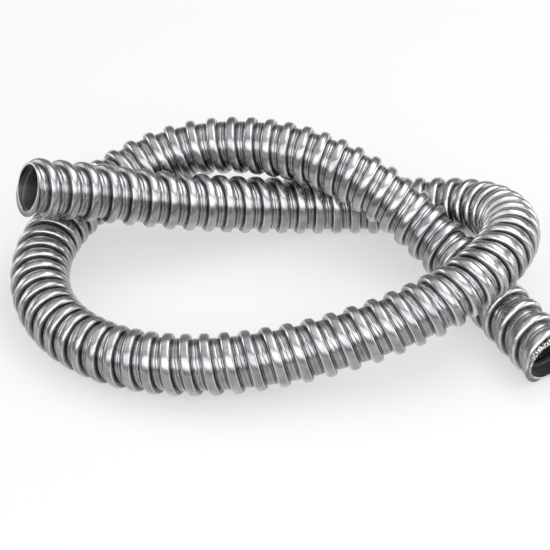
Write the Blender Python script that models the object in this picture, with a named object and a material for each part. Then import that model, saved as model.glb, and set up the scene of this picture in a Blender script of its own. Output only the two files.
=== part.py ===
"""Flexible steel conduit, one length with bare ends, lying in a loose overhand knot.

One helical strip is wound and folded into a corrugated hose, so the whole length is one solid:
a raised ridge and a valley wind round a smooth bore. The strip's turns slide on each other, so
they lie close together in the tight bends and far apart in the stretched runs. The hose is wound
straight, its turns are spaced out, its ends are cut, and it is then bent onto its route.
Metres, +Z up, the floor at Z = 0.
"""
import math

import bmesh
import bpy
import numpy as np
from mathutils import Vector

# Section of the hose
OUTSIDE_DIAMETER = 0.026
RIDGE_HEIGHT = 0.0021
WALL = 0.0006
# Along the hose, for each turn of the strip
PITCH = 0.0088
RIDGE_TOP = 0.0040
SHOULDER = 0.0005
# The most of its turn's length that a ridge takes where the turns are pushed together
LARGEST_RIDGE_SHARE = 0.9
# How far the turns are apart: (outside diameters from the raised left end, share of PITCH)
TURN_SPACING = [
    (0.0, 1.16), (2.0, 1.10), (3.5, 0.99), (9.0, 0.98), (10.2, 0.86), (11.2, 0.69), (12.5, 0.98),
    (14.0, 1.11), (15.2, 1.05), (17.0, 0.87), (18.7, 0.75), (20.5, 0.85), (22.5, 0.96),
    (24.5, 1.04), (26.8, 0.87), (28.0, 0.93), (29.3, 1.22), (30.5, 1.03), (31.5, 1.20),
]
# Sides of the round section, and how far the strip has turned at the cut of the first end
SIDES = 11
FIRST_TURN = 0.45
# Turns wound past the cuts, which they take off, and how finely the spacing is read
SPARE_TURNS = 3
STEPS_PER_TURN = 10

# The middle line of the knot, in outside diameters: (right, away, up), from the raised left end.
# It runs under the arch, round the tight right bend and over the last run, along the front, round
# the left bend and under the first run, over the arch, and down to the right end on the floor.
ROUTE = [
    (-4.24, 0.43, 2.03), (-3.20, 0.90, 1.60), (-2.12, 1.27, 1.20), (-1.01, 1.58, 0.89),
    (0.13, 1.88, 0.65), (1.31, 2.07, 0.51), (2.49, 1.99, 0.57), (3.44, 1.37, 0.93),
    (3.80, 0.31, 1.32), (3.51, -0.82, 1.52), (2.67, -1.64, 1.34), (1.59, -2.05, 1.02),
    (0.45, -2.31, 0.78), (-0.74, -2.47, 0.65), (-1.93, -2.38, 0.55), (-3.04, -1.92, 0.50),
    (-3.84, -1.04, 0.53), (-4.09, 0.14, 0.64), (-3.74, 1.27, 0.79), (-2.92, 2.09, 1.06),
    (-1.84, 2.46, 1.39), (-0.67, 2.36, 1.60), (0.46, 1.96, 1.63), (1.51, 1.48, 1.34),
    (2.45, 0.90, 0.83), (3.16, -0.01, 0.53), (3.71, -1.07, 0.50), (4.32, -2.27, 0.50),
]
STEPS_PER_DIAMETER = 10
CURVE_POINTS_PER_KNOT = 60

# The floor end is cut a little aslant, and reaches furthest on the side (right, away, up)
SLANT = math.radians(9)
LONG_SIDE = (-0.5, -0.2, 0.85)
# How near two points of a skin count as one, how near to a cut's plane the cut takes a point as
# it is, and how near the rim of the cut then lies
SAME_POINT = 1e-5
CUT_REACH = 1e-7
ON_PLANE = 1e-6
# A crease's smallest angle
CREASE = math.radians(35)


def clear_scene():
    for thing in list(bpy.data.objects):
        bpy.data.objects.remove(thing, do_unlink=True)


def natural_spline(knots, values, places):
    """Values at the places of the smooth curve through the knots, with no bending at its ends."""
    gaps = np.diff(knots)
    slopes = np.diff(values, axis=0) / gaps[:, None]
    count = len(knots)
    system = np.eye(count)
    right = np.zeros_like(values)
    for i in range(1, count - 1):
        system[i, i - 1:i + 2] = gaps[i - 1], 2 * (gaps[i - 1] + gaps[i]), gaps[i]
        right[i] = 6 * (slopes[i] - slopes[i - 1])
    bends = np.linalg.solve(system, right)
    part = np.clip(np.searchsorted(knots, places, side="right") - 1, 0, count - 2)
    gap = gaps[part][:, None]
    ahead = knots[part + 1][:, None] - places[:, None]
    behind = places[:, None] - knots[part][:, None]
    curved = (bends[part] * ahead ** 3 + bends[part + 1] * behind ** 3) / (6 * gap)
    straight = (values[part] / gap - bends[part] * gap / 6) * ahead
    return curved + straight + (values[part + 1] / gap - bends[part + 1] * gap / 6) * behind


def distances(points):
    """How far along the chain of points each point lies."""
    return np.concatenate([[0], np.cumsum(np.linalg.norm(np.diff(points, axis=0), axis=1))])


def middle_line():
    """Evenly spaced points on the route, and the distance of each along it."""
    points = np.array(ROUTE) * OUTSIDE_DIAMETER
    knots = distances(points)
    fine = np.linspace(0, knots[-1], CURVE_POINTS_PER_KNOT * len(points))
    curve = natural_spline(knots, points, fine)
    along = distances(curve)
    count = round(along[-1] / OUTSIDE_DIAMETER * STEPS_PER_DIAMETER) + 1
    even = np.linspace(0, along[-1], count)
    return read_along(curve, along, even), even


def read_along(table, along, places):
    """The rows of the table, which belong to the distances along, read at other places."""
    return np.stack([np.interp(places, along, column) for column in table.T], axis=1)


def frames_along(line):
    """Two cross directions at each point of the line, carried along it without twist."""
    tangents = np.gradient(line, axis=0)
    tangents /= np.linalg.norm(tangents, axis=1)[:, None]
    side = np.cross(tangents[0], (0, 0, 1))
    sides = []
    for tangent in tangents:
        side = side - tangent * side.dot(tangent)
        side = side / np.linalg.norm(side)
        sides.append(side)
    sides = np.array(sides)
    return sides, np.cross(tangents, sides)


def winding(length):
    """Places along the hose and past its ends, and the turns that the strip has made by each."""
    spare = (SPARE_TURNS + 1) * PITCH
    places = np.arange(-spare, length + spare, PITCH / STEPS_PER_TURN)
    stations, shares = np.array(TURN_SPACING).T
    spacing = PITCH * np.interp(places / OUTSIDE_DIAMETER, stations, shares)
    made = np.diff(places) * (1 / spacing[1:] + 1 / spacing[:-1]) / 2
    turns = np.concatenate([[0], np.cumsum(made)])
    return places, turns - np.interp(0, places, turns)


def turn_profile(bm, points, turns, outward):
    """Winds a profile of one pitch, given as (distance along, radius), into a helical skin."""
    verts = [bm.verts.new((radius, 0, along)) for along, radius in points]
    edges = [bm.edges.new(pair) for pair in zip(verts, verts[1:])]
    bmesh.ops.spin(bm, geom=verts + edges, cent=(0, 0, 0), axis=(0, 0, 1),
                   dvec=(0, 0, PITCH / SIDES), angle=2 * math.pi * turns,
                   steps=SIDES * turns, use_duplicate=False)
    bmesh.ops.remove_doubles(bm, verts=bm.verts, dist=SAME_POINT)
    bmesh.ops.recalc_face_normals(bm, faces=bm.faces)
    face = max(bm.faces, key=lambda f: math.hypot(*f.calc_center_median().xy))
    centre = face.calc_center_median()
    pointing_out = face.normal.xy.dot(centre.xy) > 0
    if pointing_out != outward:
        bmesh.ops.reverse_faces(bm, faces=bm.faces)


def wound_hose(turns):
    """The two helical skins of the hose, evenly wound and longer than the hose."""
    ridge = OUTSIDE_DIAMETER / 2
    valley = ridge - RIDGE_HEIGHT
    bore = valley - WALL
    start = -PITCH * (1 + FIRST_TURN)
    outside = [
        (start, valley),
        (start + SHOULDER, ridge),
        (start + SHOULDER + RIDGE_TOP, ridge),
        (start + 2 * SHOULDER + RIDGE_TOP, valley),
        (start + PITCH, valley),
    ]
    inside = [(start, bore), (start + PITCH, bore)]
    hose = bmesh.new()
    for profile, outward in ((outside, True), (inside, False)):
        skin = bmesh.new()
        turn_profile(skin, profile, turns, outward)
        mesh = bpy.data.meshes.new("skin")
        skin.to_mesh(mesh)
        skin.free()
        hose.from_mesh(mesh)
        bpy.data.meshes.remove(mesh)
    return hose


def space_turns(hose, places, turns):
    """Moves the even turns to their places; the ridges keep their width where there is room."""
    half_ridge = SHOULDER + RIDGE_TOP / 2
    x, y, along = np.array([vert.co for vert in hose.verts]).T
    angle = np.arctan2(y, x) / (2 * np.pi)
    share = (along - half_ridge) / PITCH + FIRST_TURN - angle
    off = share - np.round(share)
    ridge = along / PITCH - off
    here = np.interp(ridge, turns, places)
    reach = np.abs(np.interp(ridge + np.sign(off), turns, places) - here) / 2
    kept = np.minimum(half_ridge, LARGEST_RIDGE_SHARE * reach)
    size = np.abs(off) * PITCH
    in_ridge = size * kept / half_ridge
    in_valley = kept + (size - half_ridge) * (reach - kept) / (PITCH / 2 - half_ridge)
    along = here + np.sign(off) * np.where(size <= half_ridge, in_ridge, in_valley)
    for vert, place in zip(hose.verts, along):
        vert.co.z = place


def cut_planes(length, side, up):
    """A point on each end's cut of the straight hose, and the direction that the cut faces."""
    long_side = Vector(LONG_SIDE)
    across = Vector((long_side.dot(side), long_side.dot(up), 0)).normalized()
    furthest = across * OUTSIDE_DIAMETER / 2 + Vector((0, 0, length))
    slanted = Vector((0, 0, math.cos(SLANT))) - across * math.sin(SLANT)
    return (Vector((0, 0, 0)), Vector((0, 0, -1))), (furthest, slanted)


def cut_ends(hose, planes):
    """Cuts the hose at each plane and closes the wall's ends."""
    for point, normal in planes:
        geometry = hose.verts[:] + hose.edges[:] + hose.faces[:]
        bmesh.ops.bisect_plane(hose, geom=geometry, dist=CUT_REACH, plane_co=point,
                               plane_no=normal, clear_outer=True)
        rim = [edge for edge in hose.edges if edge.is_boundary
               and all(abs((vert.co - point).dot(normal)) < ON_PLANE for vert in edge.verts)]
        bmesh.ops.bridge_loops(hose, edges=rim)
    bmesh.ops.triangulate(hose, faces=hose.faces[:])
    bmesh.ops.recalc_face_normals(hose, faces=hose.faces[:])


def bend_onto_route(hose, line, even, sides, ups):
    """Carries every point of the straight hose to its place beside the route."""
    x, y, along = np.array([vert.co for vert in hose.verts]).T
    place, side, up = (read_along(table, even, along) for table in (line, sides, ups))
    side /= np.linalg.norm(side, axis=1)[:, None]
    up /= np.linalg.norm(up, axis=1)[:, None]
    for vert, point in zip(hose.verts, place + side * x[:, None] + up * y[:, None]):
        vert.co = Vector(point)


def stand_on_origin(hose):
    """Puts the middle of the hose's box over the origin, and its lowest point at Z = 0."""
    low = [min(vert.co[axis] for vert in hose.verts) for axis in range(3)]
    high = [max(vert.co[axis] for vert in hose.verts) for axis in range(3)]
    shift = Vector((-(low[0] + high[0]) / 2, -(low[1] + high[1]) / 2, -low[2]))
    bmesh.ops.translate(hose, verts=hose.verts[:], vec=shift)


def galvanised_steel():
    material = bpy.data.materials.new("galvanised_steel")
    material.use_nodes = True
    shader = material.node_tree.nodes["Principled BSDF"]
    shader.inputs["Base Color"].default_value = (0.60, 0.61, 0.63, 1)
    shader.inputs["Metallic"].default_value = 1.0
    shader.inputs["Roughness"].default_value = 0.28
    return material


def main():
    clear_scene()
    line, even = middle_line()
    sides, ups = frames_along(line)
    places, turns = winding(even[-1])
    hose = wound_hose(math.ceil(np.interp(even[-1], places, turns)) + SPARE_TURNS)
    space_turns(hose, places, turns)
    cut_ends(hose, cut_planes(even[-1], sides[-1], ups[-1]))
    bend_onto_route(hose, line, even, sides, ups)
    stand_on_origin(hose)
    mesh = bpy.data.meshes.new("conduit")
    hose.to_mesh(mesh)
    hose.free()
    mesh.materials.append(galvanised_steel())
    mesh.shade_smooth()
    mesh.set_sharp_from_angle(angle=CREASE)
    conduit = bpy.data.objects.new("conduit", mesh)
    bpy.context.scene.collection.objects.link(conduit)


main()
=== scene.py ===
"""The looks of a flexible steel conduit that lies in a loose overhand knot."""
import math
import random

import bmesh
import bpy
import numpy as np
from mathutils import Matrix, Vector


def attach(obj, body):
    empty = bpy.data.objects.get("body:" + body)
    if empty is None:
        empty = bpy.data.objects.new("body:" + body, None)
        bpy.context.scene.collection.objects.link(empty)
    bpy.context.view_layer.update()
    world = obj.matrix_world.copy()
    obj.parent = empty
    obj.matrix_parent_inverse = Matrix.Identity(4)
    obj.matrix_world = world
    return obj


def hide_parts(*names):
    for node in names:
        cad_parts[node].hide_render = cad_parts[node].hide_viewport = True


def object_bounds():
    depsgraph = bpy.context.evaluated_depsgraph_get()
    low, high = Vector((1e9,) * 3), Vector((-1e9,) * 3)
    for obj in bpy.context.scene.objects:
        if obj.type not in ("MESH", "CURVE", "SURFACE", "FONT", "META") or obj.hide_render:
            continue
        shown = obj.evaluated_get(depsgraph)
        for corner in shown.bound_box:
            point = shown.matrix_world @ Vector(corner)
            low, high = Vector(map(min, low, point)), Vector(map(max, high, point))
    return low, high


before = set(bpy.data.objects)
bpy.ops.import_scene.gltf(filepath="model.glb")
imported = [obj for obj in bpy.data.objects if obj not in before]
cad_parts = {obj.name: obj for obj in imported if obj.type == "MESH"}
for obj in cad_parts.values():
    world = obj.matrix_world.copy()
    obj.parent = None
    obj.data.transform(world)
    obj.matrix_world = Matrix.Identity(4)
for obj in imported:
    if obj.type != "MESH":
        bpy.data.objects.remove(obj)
cad_low, cad_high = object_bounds()

MM = 0.001
# The hose's diameter and winding, as in the solid
OUTSIDE_DIAMETER = 0.026
PITCH = 0.0088
FIRST_TURN = 0.45
RIDGE = OUTSIDE_DIAMETER / 2

# Half a ridge's width, and the most that ridges take of the hose where its turns are close together
HALF_RIDGE = 2.5 * MM
LARGEST_RIDGE_SHARE = 0.92

# How finely the strip is wound, the turns before the raised end, and the turns to spare for the cuts
SIDES = 30
STEPS_PER_TURN = 10
LEAD_TURNS = 2
SPARE_TURNS = 4

# How far the turns are apart: (outside diameters from the raised left end, share of PITCH)
TURN_SPACING = [
    (0.0, 1.16), (2.0, 1.10), (3.5, 0.99), (9.0, 0.98), (10.2, 0.86), (11.2, 0.69), (12.5, 0.98),
    (14.0, 1.11), (15.2, 1.05), (17.0, 0.87), (18.7, 0.75), (20.5, 0.85), (22.5, 0.96),
    (24.5, 1.04), (26.8, 0.87), (28.0, 0.93), (29.3, 1.22), (30.5, 1.03), (31.5, 1.20),
]

# The middle line of the knot, in outside diameters, from the raised left end
ROUTE = [
    (-4.24, 0.43, 2.03), (-3.20, 0.90, 1.60), (-2.12, 1.27, 1.20), (-1.01, 1.58, 0.89),
    (0.13, 1.88, 0.65), (1.31, 2.07, 0.51), (2.49, 1.99, 0.57), (3.44, 1.37, 0.93),
    (3.80, 0.31, 1.32), (3.51, -0.82, 1.52), (2.67, -1.64, 1.34), (1.59, -2.05, 1.02),
    (0.45, -2.31, 0.78), (-0.74, -2.47, 0.65), (-1.93, -2.38, 0.55), (-3.04, -1.92, 0.50),
    (-3.84, -1.04, 0.53), (-4.09, 0.14, 0.64), (-3.74, 1.27, 0.79), (-2.92, 2.09, 1.06),
    (-1.84, 2.46, 1.39), (-0.67, 2.36, 1.60), (0.46, 1.96, 1.63), (1.51, 1.48, 1.34),
    (2.45, 0.90, 0.83), (3.16, -0.01, 0.53), (3.71, -1.07, 0.50), (4.32, -2.27, 0.50),
]
STEPS_PER_DIAMETER = 10
CURVE_POINTS_PER_KNOT = 60
SMOOTHING_PASSES = 3

# The floor end is cut a little aslant, and reaches furthest on the side (right, away, up)
SLANT = math.radians(9)
LONG_SIDE = (-0.5, -0.2, 0.85)
ON_PLANE = 1e-6
CUT_TOLERANCE = ON_PLANE / 10

# One turn of the folded strip, in millimetres: (place along the hose, depth below the ridge top)
OUTSIDE_FOLDS = [
    (0.00, 2.35), (0.12, 1.50), (0.32, 0.90), (0.60, 0.50), (0.95, 0.22), (1.35, 0.08),
    (1.85, 0.02), (2.50, 0.00), (3.15, 0.02), (3.58, 0.08), (3.96, 0.24), (4.34, 0.54),
    (4.66, 0.94), (4.88, 1.50), (5.00, 2.35), (5.50, 2.35), (5.70, 2.06), (6.15, 2.00),
    (6.65, 2.03), (6.90, 2.20), (7.15, 2.03), (7.65, 2.00), (8.10, 2.06), (8.30, 2.35),
]
BORE_DEPTH = 2.95
INSIDE_FOLDS = [
    (0.00, BORE_DEPTH), (1.60, 2.92), (1.75, 2.20), (3.10, 2.20), (3.25, 2.92), (6.90, 3.00),
]
BORE = RIDGE - BORE_DEPTH * MM
# Folds sharper than this are shaded sharp
CREASE = math.radians(38)
# Where the cut faces lie on the strip map: at the bore, and how much further at the ridge top
CUT_FACE = 1.93
CUT_FACE_SPAN = 0.06

# Each turn strays a little along the hose and leans to one side, in waves: (turns in a wave, phase)
TURN_SHIFT = 0.12 * MM
SHIFT_WAVES = [(2.7, 0.4), (1.31, 2.0), (0.43, 1.1)]
TURN_LEAN = 0.09 * MM
LEAN_WAVES = [(3.9, 0.0), (1.77, 1.0), (0.61, 2.3)]

# The burr that the saw left round the floor end's long side. It thins out towards its own ends.
# Its section, in millimetres: (depth below the ridge top, distance past the cut, how far it strays)
BURR_REACH = math.radians(75)
BURR_STEPS = 84
BURR_SEED = 7
BURR_END_FULLNESS = 0.15
BURR_SWELL = 0.6
BURR_SECTION = [
    (BORE_DEPTH, 0.10, 0.10), (2.20, 0.25, 0.40), (1.25, -1.20, 0.55), (2.50, -1.70, 0.15),
]


def natural_spline(knots, values, places):
    """Values at the places of the smooth curve through the knots, with no bending at its ends."""
    gaps = np.diff(knots)
    slopes = np.diff(values, axis=0) / gaps[:, None]
    count = len(knots)
    system = np.eye(count)
    right = np.zeros_like(values)
    for i in range(1, count - 1):
        system[i, i - 1:i + 2] = gaps[i - 1], 2 * (gaps[i - 1] + gaps[i]), gaps[i]
        right[i] = 6 * (slopes[i] - slopes[i - 1])
    bends = np.linalg.solve(system, right)
    part = np.clip(np.searchsorted(knots, places, side="right") - 1, 0, count - 2)
    gap = gaps[part][:, None]
    ahead = knots[part + 1][:, None] - places[:, None]
    behind = places[:, None] - knots[part][:, None]
    curved = (bends[part] * ahead ** 3 + bends[part + 1] * behind ** 3) / (6 * gap)
    straight = (values[part] / gap - bends[part] * gap / 6) * ahead
    return curved + straight + (values[part + 1] / gap - bends[part + 1] * gap / 6) * behind


def distances(points):
    """How far along the chain of points each point lies."""
    return np.concatenate([[0], np.cumsum(np.linalg.norm(np.diff(points, axis=0), axis=1))])


def read_along(table, along, places):
    """The rows of the table, which belong to the distances along, read at other places."""
    return np.stack([np.interp(places, along, column) for column in table.T], axis=1)


def middle_line():
    """Evenly spaced points on the route, and the distance of each along it."""
    points = np.array(ROUTE) * OUTSIDE_DIAMETER
    knots = distances(points)
    fine = np.linspace(0, knots[-1], CURVE_POINTS_PER_KNOT * len(points))
    curve = natural_spline(knots, points, fine)
    along = distances(curve)
    count = round(along[-1] / OUTSIDE_DIAMETER * STEPS_PER_DIAMETER) + 1
    even = np.linspace(0, along[-1], count)
    return read_along(curve, along, even), even


def frames_along(line, even):
    """Two cross directions without twist, and how the line bends, at each point."""
    tangents = np.gradient(line, even, axis=0)
    tangents /= np.linalg.norm(tangents, axis=1)[:, None]
    bends = np.gradient(tangents, even, axis=0)
    for _ in range(SMOOTHING_PASSES):
        bends[1:-1] = (bends[:-2] + 2 * bends[1:-1] + bends[2:]) / 4
    side = np.cross(tangents[0], (0, 0, 1))
    sides = []
    for tangent in tangents:
        side = side - tangent * side.dot(tangent)
        side = side / np.linalg.norm(side)
        sides.append(side)
    sides = np.array(sides)
    return sides, np.cross(tangents, sides), bends


def winding(length):
    """Places along the hose and past its ends, and the turns that the strip has made by each."""
    spare = SPARE_TURNS * PITCH
    places = np.arange(-spare, length + spare, PITCH / STEPS_PER_TURN)
    stations, shares = np.array(TURN_SPACING).T
    spacing = PITCH * np.interp(places / OUTSIDE_DIAMETER, stations, shares)
    made = np.diff(places) * (1 / spacing[1:] + 1 / spacing[:-1]) / 2
    turns = np.concatenate([[0], np.cumsum(made)])
    return places, turns - np.interp(0, places, turns)


def folded_skin(folds, turns, outward):
    """An evenly wound skin from one turn's folds: its points, quads and strip map."""
    steps = SIDES * turns
    count = len(folds)
    shares = np.array([place * MM / PITCH for place, _ in folds])
    radii = np.array([RIDGE - depth * MM for _, depth in folds])
    step = np.arange(steps + SIDES + 1)[:, None]
    angle = 2 * np.pi * step / SIDES + 0 * shares
    along = PITCH * (step / SIDES + shares - LEAD_TURNS - FIRST_TURN)
    points = np.stack([np.cos(angle) * radii, np.sin(angle) * radii, along], axis=-1)
    edges = np.append(shares, 1.0) + (0 if outward else 1)
    quads, strip = [], []
    for i in range(steps):
        for k in range(count):
            near, far = i * count + k, (i + 1) * count + k
            over = 1 if k < count - 1 else SIDES * count + 1 - count
            quad = [near, far, far + over, near + over]
            corners = [(i, edges[k]), (i + 1, edges[k]), (i + 1, edges[k + 1]), (i, edges[k + 1])]
            quads.append(quad if outward else quad[::-1])
            strip.extend(corners if outward else corners[::-1])
    strip = np.array(strip)
    strip[:, 0] *= 2 * np.pi * RIDGE / SIDES
    return points.reshape(-1, 3), quads, strip


def waver(turns, waves):
    """A smooth wander from -1 to 1 along the wound strip, from (turns in a wave, phase) pairs."""
    return sum(np.sin(2 * np.pi * turns / wave + phase) for wave, phase in waves) / len(waves)


def space_turns(points, even, sides, ups, bends):
    """Moves the even turns to their places: ridges keep their width, and valleys open and close."""
    places, turns = winding(even[-1])
    x, y, along = points.T
    radius = np.hypot(x, y)
    angle = np.arctan2(y, x)
    share = (along - HALF_RIDGE) / PITCH + FIRST_TURN - angle / (2 * np.pi)
    off = share - np.round(share)
    ridge = along / PITCH - off
    here, neighbour = (np.interp(ridge + step, turns, places) for step in (0, np.sign(off)))
    reach = np.abs(neighbour - here) / 2
    side, up, bend = (read_along(table, even, here) for table in (sides, ups, bends))
    stretch = 1 - ((side * x[:, None] + up * y[:, None]) * bend).sum(axis=1)
    kept = np.minimum(HALF_RIDGE / stretch, LARGEST_RIDGE_SHARE * reach)
    size = np.abs(off) * PITCH
    in_ridge = size * kept / HALF_RIDGE
    in_valley = kept + (size - HALF_RIDGE) * (reach - kept) / (PITCH / 2 - HALF_RIDGE)
    moved = np.sign(off) * np.where(size <= HALF_RIDGE, in_ridge, in_valley)
    shift = TURN_SHIFT * waver(ridge, SHIFT_WAVES)
    lean = TURN_LEAN * waver(ridge, LEAN_WAVES)
    across = np.clip(off * PITCH / HALF_RIDGE, -1, 1)
    radius = radius - np.maximum(0, across * lean)
    return np.stack([np.cos(angle) * radius, np.sin(angle) * radius, here + moved + shift], axis=1)


def cut_planes(length, side, up):
    """A point on each end's cut of the straight hose, and the direction that the cut faces."""
    long_side = Vector(LONG_SIDE)
    across = Vector((long_side.dot(side), long_side.dot(up), 0)).normalized()
    furthest = across * RIDGE + Vector((0, 0, length))
    slanted = Vector((0, 0, math.cos(SLANT))) - across * math.sin(SLANT)
    return (Vector((0, 0, 0)), Vector((0, 0, -1))), (furthest, slanted)


def straight_hose(even, sides, ups, bends):
    """The hose before it is bent, along +Z, its turns spaced and both its ends cut."""
    places, made = winding(even[-1])
    turns = math.ceil(np.interp(even[-1], places, made)) + SPARE_TURNS
    points, quads, strip = folded_skin(OUTSIDE_FOLDS, turns, True)
    inner_points, inner_quads, inner_strip = folded_skin(INSIDE_FOLDS, turns, False)
    quads += [[corner + len(points) for corner in quad] for quad in inner_quads]
    points = np.concatenate([points, inner_points])
    mesh = bpy.data.meshes.new("conduit_hose")
    mesh.from_pydata(space_turns(points, even, sides, ups, bends).tolist(), [], quads)
    strip_map = mesh.uv_layers.new(name="strip")
    strip_map.uv.foreach_set("vector", np.concatenate([strip, inner_strip]).ravel())
    hose = bmesh.new()
    hose.from_mesh(mesh)
    layer = hose.loops.layers.uv["strip"]
    for point, normal in cut_planes(even[-1], sides[-1], ups[-1]):
        geometry = hose.verts[:] + hose.edges[:] + hose.faces[:]
        bmesh.ops.bisect_plane(hose, geom=geometry, dist=CUT_TOLERANCE, plane_co=point,
                               plane_no=normal, clear_outer=True)
        rim = [edge for edge in hose.edges if edge.is_boundary
               and all(abs((vert.co - point).dot(normal)) < ON_PLANE for vert in edge.verts)]
        for face in bmesh.ops.bridge_loops(hose, edges=rim)["faces"]:
            for loop in face.loops:
                outward = (loop.vert.co.xy.length - BORE) / (RIDGE - BORE)
                loop[layer].uv = (0, CUT_FACE + CUT_FACE_SPAN * outward)
    bmesh.ops.triangulate(hose, faces=[face for face in hose.faces if len(face.verts) > 4])
    hose.to_mesh(mesh)
    hose.free()
    return mesh


def onto_route(points, line, even, sides, ups):
    """Points of the straight hose, carried to their places beside the route or just past it."""
    x, y, along = points.T
    past = along - np.clip(along, even[0], even[-1])
    place, side, up = (read_along(table, even, along) for table in (line, sides, ups))
    side /= np.linalg.norm(side, axis=1)[:, None]
    up /= np.linalg.norm(up, axis=1)[:, None]
    return place + side * x[:, None] + up * y[:, None] + np.cross(side, up) * past[:, None]


def make_burr(line, even, sides, ups, shift):
    """The ragged edge of the sawn end: a closed chain of torn facets along the rim."""
    point, normal = cut_planes(even[-1], sides[-1], ups[-1])[1]
    dice = random.Random(BURR_SEED)
    middle = math.atan2(point.y, point.x)
    corners = len(BURR_SECTION)
    points = []
    for i in range(BURR_STEPS + 1):
        turn = middle + BURR_REACH * (2 * i / BURR_STEPS - 1)
        swell = math.sin(math.pi * i / BURR_STEPS) ** BURR_SWELL
        fullness = BURR_END_FULLNESS + (1 - BURR_END_FULLNESS) * swell
        for depth, past, stray in BURR_SECTION:
            reach = RIDGE - (BORE_DEPTH + (depth - BORE_DEPTH) * fullness) * MM
            reach += dice.uniform(-stray, stray) * fullness * MM
            spot = Vector((math.cos(turn) * reach, math.sin(turn) * reach, 0))
            spot.z = point.z - (spot - point).xy.dot(normal.xy) / normal.z
            ragged = (past + dice.uniform(-stray, stray)) * fullness * MM
            points.append(spot + normal * ragged)
    faces = [list(range(corners)), [BURR_STEPS * corners + k for k in range(corners)]]
    for i in range(BURR_STEPS):
        for k in range(corners):
            near, after = i * corners + k, i * corners + (k + 1) % corners
            faces.append([near, after, after + corners, near + corners])
    bent = onto_route(np.array(points), line, even, sides, ups) + shift
    mesh = bpy.data.meshes.new("cut_burr")
    mesh.from_pydata(bent.tolist(), [], faces)
    shell = bmesh.new()
    shell.from_mesh(mesh)
    bmesh.ops.triangulate(shell, faces=shell.faces[:])
    bmesh.ops.recalc_face_normals(shell, faces=shell.faces[:])
    shell.to_mesh(mesh)
    shell.free()
    burr = bpy.data.objects.new("cut_burr", mesh)
    bpy.context.scene.collection.objects.link(burr)
    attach(burr, "root")
    return burr


def make_hose(line, even, sides, ups, bends):
    """The hose on its route, and how far the route is shifted to lie in the solid's box."""
    mesh = straight_hose(even, sides, ups, bends)
    flat = np.empty(len(mesh.vertices) * 3)
    mesh.vertices.foreach_get("co", flat)
    bent = onto_route(flat.reshape(-1, 3), line, even, sides, ups)
    low, high = bent.min(axis=0), bent.max(axis=0)
    cad_middle = (np.array(cad_low) + np.array(cad_high)) / 2
    shift = cad_middle - (low + high) / 2
    shift[2] = cad_low[2] - low[2]
    mesh.vertices.foreach_set("co", (bent + shift).ravel())
    mesh.update()
    mesh.shade_smooth()
    mesh.set_sharp_from_angle(angle=CREASE)
    hose = bpy.data.objects.new("conduit_hose", mesh)
    bpy.context.scene.collection.objects.link(hose)
    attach(hose, "root")
    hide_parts("conduit")
    return hose, shift


# The steel's colours, and the sizes of its patterns
DARK_STEEL = (0.46, 0.47, 0.49, 1)
LIGHT_STEEL = (0.73, 0.735, 0.745, 1)
# Painted highlight colour for the ridge shoulders, also the bare metal of the cut faces
SHEEN_AND_CUT_STEEL = (0.84, 0.85, 0.86, 1)
BORE_ROUGHNESS = (0.50, 0.50, 0.50, 1)
STREAKS_ON_STRIP = (60, 22, 1)
STREAKS = {"Scale": 1.0, "Detail": 4.0, "Roughness": 0.6}
CLOUDS = {"Scale": 160.0, "Detail": 3.0, "Roughness": 0.55}
DENTS = {"Scale": 330.0, "Detail": 1.5, "Roughness": 0.5}
DENT_BUMP = {"Strength": 0.25, "Distance": 0.0002}
STREAK_BUMP = {"Strength": 0.4, "Distance": 0.00005}
CLOUD_STOPS = [(0.35, 0), (0.65, 1)]
STREAK_ROUGHNESS = [(0.3, 0.20), (0.7, 0.34)]

# Greys by the place on the fold, which is half the height on the strip map: one turn's outside
# lies from 0 to 0.5, the bore from 0.5 to 1, and the cut faces share 0.965 to 0.995 with it
FOLD_PER_MAP_HEIGHT = 0.5
# Painted shade: darker in the grooves, creases and bore, a little lighter on the right shoulder as a
# painted highlight, lightest on the bare cut faces
GROOVE_SHADE = [
    (0.000, 0.40), (0.020, 0.55), (0.040, 0.86), (0.200, 0.86), (0.225, 0.95), (0.262, 0.95),
    (0.276, 0.45), (0.310, 0.40), (0.330, 0.80), (0.380, 0.80), (0.392, 0.50), (0.404, 0.80),
    (0.450, 0.80), (0.470, 0.40), (0.500, 0.40), (0.505, 0.68), (0.958, 0.68), (0.965, 1.0),
    (0.971, 0.95), (0.976, 0.50), (1.000, 0.45),
]
# Painted highlights along both ridge shoulders, and lighter bare metal on the cut faces
SHOULDER_SHEEN_AND_CUT = [
    (0.030, 0), (0.038, 0.5), (0.046, 0.5), (0.056, 0), (0.222, 0), (0.236, 0.5), (0.250, 0.5),
    (0.262, 0), (0.958, 0), (0.965, 0.6), (0.971, 0.6), (0.976, 0),
]
IN_BORE = [(0.500, 0), (0.505, 1), (0.958, 1), (0.968, 0)]

# Painted shade by which way the surface faces, from 0, straight down, to 1, straight up: darker on
# the flanks that face sideways
FLANK_SHADE = [(0.22, 1.0), (0.36, 0.70), (0.50, 0.60), (0.62, 0.60), (0.73, 1.0)]

# The burr's fresh metal
TEAR_DARK = (0.10, 0.09, 0.08, 1)
TEAR_BRIGHT = (0.90, 0.88, 0.83, 1)
TEARS = {"Scale": 1400.0, "Detail": 2.0, "Roughness": 0.6}
TEAR_STOPS = [(0.43, 0), (0.54, 1)]
BURR_ROUGHNESS = 0.30


def add_node(tree, kind, **inputs):
    """A shader node with its constant inputs set by name."""
    node = tree.nodes.new(kind)
    for name, value in inputs.items():
        node.inputs[name].default_value = value
    return node


def ramp(tree, source, stops):
    """A colour ramp of greys through the (place, grey) stops."""
    node = tree.nodes.new("ShaderNodeValToRGB")
    elements = node.color_ramp.elements
    while len(elements) < len(stops):
        elements.new(0.5)
    for element, (place, grey) in zip(elements, stops):
        element.position = place
        element.color = (grey, grey, grey, 1)
    tree.links.new(source, node.inputs["Fac"])
    return node.outputs["Color"]


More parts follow.
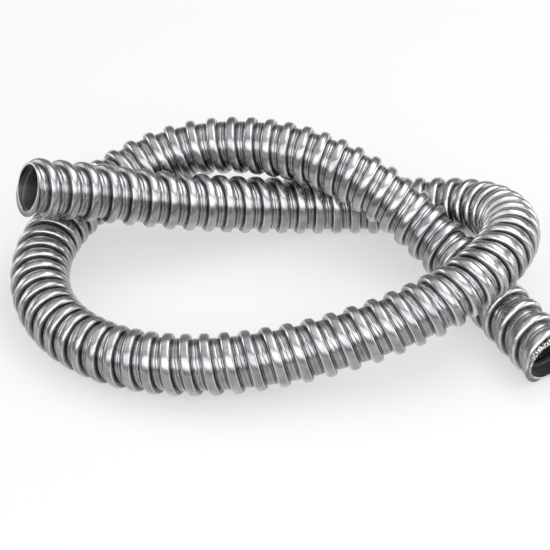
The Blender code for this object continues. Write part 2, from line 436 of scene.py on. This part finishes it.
def multiplied(tree, first, second):
    """The product of two colours."""
    node = tree.nodes.new("ShaderNodeMixRGB")
    node.blend_type = "MULTIPLY"
    node.inputs["Fac"].default_value = 1.0
    tree.links.new(first, node.inputs["Color1"])
    tree.links.new(second, node.inputs["Color2"])
    return node.outputs["Color"]


def mixed(tree, factor, first, second):
    """A colour between the first and the second, each of them a colour or a node's output."""
    node = tree.nodes.new("ShaderNodeMixRGB")
    tree.links.new(factor, node.inputs["Fac"])
    for name, colour in (("Color1", first), ("Color2", second)):
        if isinstance(colour, tuple):
            node.inputs[name].default_value = colour
        else:
            tree.links.new(colour, node.inputs[name])
    return node.outputs["Color"]


def worked_out(tree, operation, first, second):
    """The operation on a node's output and either a number or another output."""
    node = tree.nodes.new("ShaderNodeMath")
    node.operation = operation
    tree.links.new(first, node.inputs[0])
    if isinstance(second, float):
        node.inputs[1].default_value = second
    else:
        tree.links.new(second, node.inputs[1])
    return node.outputs["Value"]


def noise(tree, place, settings):
    """Noise that is read at the place."""
    node = add_node(tree, "ShaderNodeTexNoise", **settings)
    tree.links.new(place, node.inputs["Vector"])
    return node.outputs["Fac"]


def bare_metal(name):
    """A new metal material, with its node tree and its shader."""
    material = bpy.data.materials.new(name)
    material.use_nodes = True
    shader = material.node_tree.nodes["Principled BSDF"]
    shader.inputs["Metallic"].default_value = 1.0
    return material, material.node_tree, shader


def galvanised_steel():
    """Bright steel: cloudy and streaked along the strip, with painted shade in its grooves and on
    its flanks, and painted highlights on its ridge shoulders.
    """
    material, tree, shader = bare_metal("galvanised_steel_finish")
    link = tree.links.new
    place = tree.nodes.new("ShaderNodeTexCoord").outputs["Object"]
    strip = tree.nodes.new("ShaderNodeUVMap")
    strip.uv_map = "strip"
    split = tree.nodes.new("ShaderNodeSeparateXYZ")
    link(strip.outputs["UV"], split.inputs["Vector"])
    fold = worked_out(tree, "MULTIPLY", split.outputs["Y"], FOLD_PER_MAP_HEIGHT)
    streak_place = tree.nodes.new("ShaderNodeMapping")
    streak_place.inputs["Scale"].default_value = STREAKS_ON_STRIP
    link(strip.outputs["UV"], streak_place.inputs["Vector"])
    streaks = noise(tree, streak_place.outputs["Vector"], STREAKS)

    clouded = ramp(tree, noise(tree, place, CLOUDS), CLOUD_STOPS)
    tone = mixed(tree, clouded, DARK_STEEL, LIGHT_STEEL)
    # Painted shade in the grooves, creases and bore
    groove_shaded = multiplied(tree, tone, ramp(tree, fold, GROOVE_SHADE))

    surface = tree.nodes.new("ShaderNodeNewGeometry")
    facing = tree.nodes.new("ShaderNodeSeparateXYZ")
    link(surface.outputs["Normal"], facing.inputs["Vector"])
    upward = add_node(tree, "ShaderNodeMapRange")
    upward.inputs["From Min"].default_value = -1.0
    link(facing.outputs["Z"], upward.inputs["Value"])
    # Painted shade on the flanks that face sideways
    flank_shaded = multiplied(tree, groove_shaded, ramp(tree, upward.outputs["Result"], FLANK_SHADE))
    # Painted highlights on the ridge shoulders, and bare metal on the cut faces
    sheened = mixed(tree, ramp(tree, fold, SHOULDER_SHEEN_AND_CUT), flank_shaded, SHEEN_AND_CUT_STEEL)
    link(sheened, shader.inputs["Base Color"])

    outside = ramp(tree, streaks, STREAK_ROUGHNESS)
    roughness = mixed(tree, ramp(tree, fold, IN_BORE), outside, BORE_ROUGHNESS)
    link(roughness, shader.inputs["Roughness"])

    dents = add_node(tree, "ShaderNodeBump", **DENT_BUMP)
    link(noise(tree, place, DENTS), dents.inputs["Height"])
    lines = add_node(tree, "ShaderNodeBump", **STREAK_BUMP)
    link(streaks, lines.inputs["Height"])
    link(dents.outputs["Normal"], lines.inputs["Normal"])
    link(lines.outputs["Normal"], shader.inputs["Normal"])
    return material


def torn_steel():
    """Fresh metal on the burr, bright with dark tears."""
    material, tree, shader = bare_metal("torn_steel_finish")
    shader.inputs["Roughness"].default_value = BURR_ROUGHNESS
    place = tree.nodes.new("ShaderNodeTexCoord").outputs["Object"]
    torn = ramp(tree, noise(tree, place, TEARS), TEAR_STOPS)
    tree.links.new(mixed(tree, torn, TEAR_DARK, TEAR_BRIGHT), shader.inputs["Base Color"])
    return material


# The camera, from the photo: straight on, looking down, in a frame as wide as the photo
LOOK_AT = Vector((-0.0041, 0.0180, 0.0001))
CAMERA_DISTANCE = 0.8586
CAMERA_ANGLE = math.radians(37)
FRAME_PIXELS = 550
FOCAL_PIXELS = 1900
SENSOR_WIDTH = 36
LENS = FOCAL_PIXELS / FRAME_PIXELS * SENSOR_WIDTH
NEAREST_SEEN = 0.01


def add_camera():
    """The camera in front of the hose, looking down at it without any tilt to the side."""
    data = bpy.data.cameras.new("camera")
    data.sensor_fit = "HORIZONTAL"
    data.sensor_width = SENSOR_WIDTH
    data.lens = LENS
    data.clip_start = NEAREST_SEEN
    camera = bpy.data.objects.new("camera", data)
    back = Vector((0, -math.cos(CAMERA_ANGLE), math.sin(CAMERA_ANGLE)))
    camera.location = LOOK_AT + back * CAMERA_DISTANCE
    camera.rotation_euler = (math.pi / 2 - CAMERA_ANGLE, 0, 0)
    bpy.context.scene.collection.objects.link(camera)
    bpy.context.scene.camera = camera


# The floor, and the share of plain white in it, as the camera and the metal see it
FLOOR_SIZE = 6
PAPER = (0.88, 0.88, 0.88, 1)
PAPER_ROUGHNESS = 0.9
WHITE_SHARE = 0.5


def floor_paper():
    """White paper that is part plain white, so that the hose's shadow on it stays light."""
    material = bpy.data.materials.new("floor_paper")
    material.use_nodes = True
    tree = material.node_tree
    link = tree.links.new
    shader = tree.nodes["Principled BSDF"]
    shader.inputs["Base Color"].default_value = PAPER
    shader.inputs["Roughness"].default_value = PAPER_ROUGHNESS
    white = add_node(tree, "ShaderNodeEmission", Color=(1, 1, 1, 1), Strength=1.0)
    rays = tree.nodes.new("ShaderNodeLightPath")
    seen = rays.outputs["Is Camera Ray"]
    for name in ("Is Glossy Ray", "Is Transmission Ray"):
        seen = worked_out(tree, "MAXIMUM", seen, rays.outputs[name])
    mix = tree.nodes.new("ShaderNodeMixShader")
    link(worked_out(tree, "MULTIPLY", seen, WHITE_SHARE), mix.inputs["Fac"])
    link(shader.outputs["BSDF"], mix.inputs[1])
    link(white.outputs["Emission"], mix.inputs[2])
    link(mix.outputs["Shader"], tree.nodes["Material Output"].inputs["Surface"])
    return material


def add_floor():
    """The paper that the hose lies on."""
    bpy.ops.mesh.primitive_plane_add(size=FLOOR_SIZE, location=(0, 0, 0))
    floor = bpy.context.object
    floor.name = "floor"
    floor.data.materials.append(floor_paper())


# The light: the studio's own grey, and each lamp's (name, place, aim, width and height, radiance)
STUDIO_GREY = (0.22, 0.22, 0.22, 1)
LAMPS = [
    ("overhead", (0.80, 0.42, 1.40), (0.80, 0.42, 0), (1.2, 1.74), 2.3),
    ("overhead_left", (-0.57, 0.36, 1.40), (-0.57, 0.36, 0), (1.54, 1.62), 0.60),
    ("front", (0, -0.84, 0.76), (0, 0, 0), (2.6, 0.80), 1.8),
    ("right", (1.2, 0, 0.35), (0, 0, 0.2), (0.9, 0.50), 2.2),
    ("left_back", (-1.2, 0.6, 0.30), (0, 0, 0.1), (0.7, 0.6), 2.0),
]


def softbox(name, place, aim, size, radiance):
    """A rectangular lamp that shines with one radiance all over its face."""
    data = bpy.data.lights.new(name, "AREA")
    data.shape = "RECTANGLE"
    data.size, data.size_y = size
    data.energy = radiance * math.pi * size[0] * size[1]
    light = bpy.data.objects.new(name, data)
    light.location = place
    light.rotation_euler = (Vector(aim) - Vector(place)).to_track_quat("-Z", "Y").to_euler()
    bpy.context.scene.collection.objects.link(light)


def add_light():
    """The grey studio and its lamps."""
    world = bpy.data.worlds.new("studio")
    bpy.context.scene.world = world
    world.use_nodes = True
    world.node_tree.nodes["Background"].inputs["Color"].default_value = STUDIO_GREY
    for lamp in LAMPS:
        softbox(*lamp)


line, even = middle_line()
sides, ups, bends = frames_along(line, even)
hose, shift = make_hose(line, even, sides, ups, bends)
hose.data.materials.append(galvanised_steel())
burr = make_burr(line, even, sides, ups, shift)
burr.data.materials.append(torn_steel())
add_camera()
add_floor()
add_light()

scene = bpy.context.scene
scene.view_settings.view_transform = "Standard"
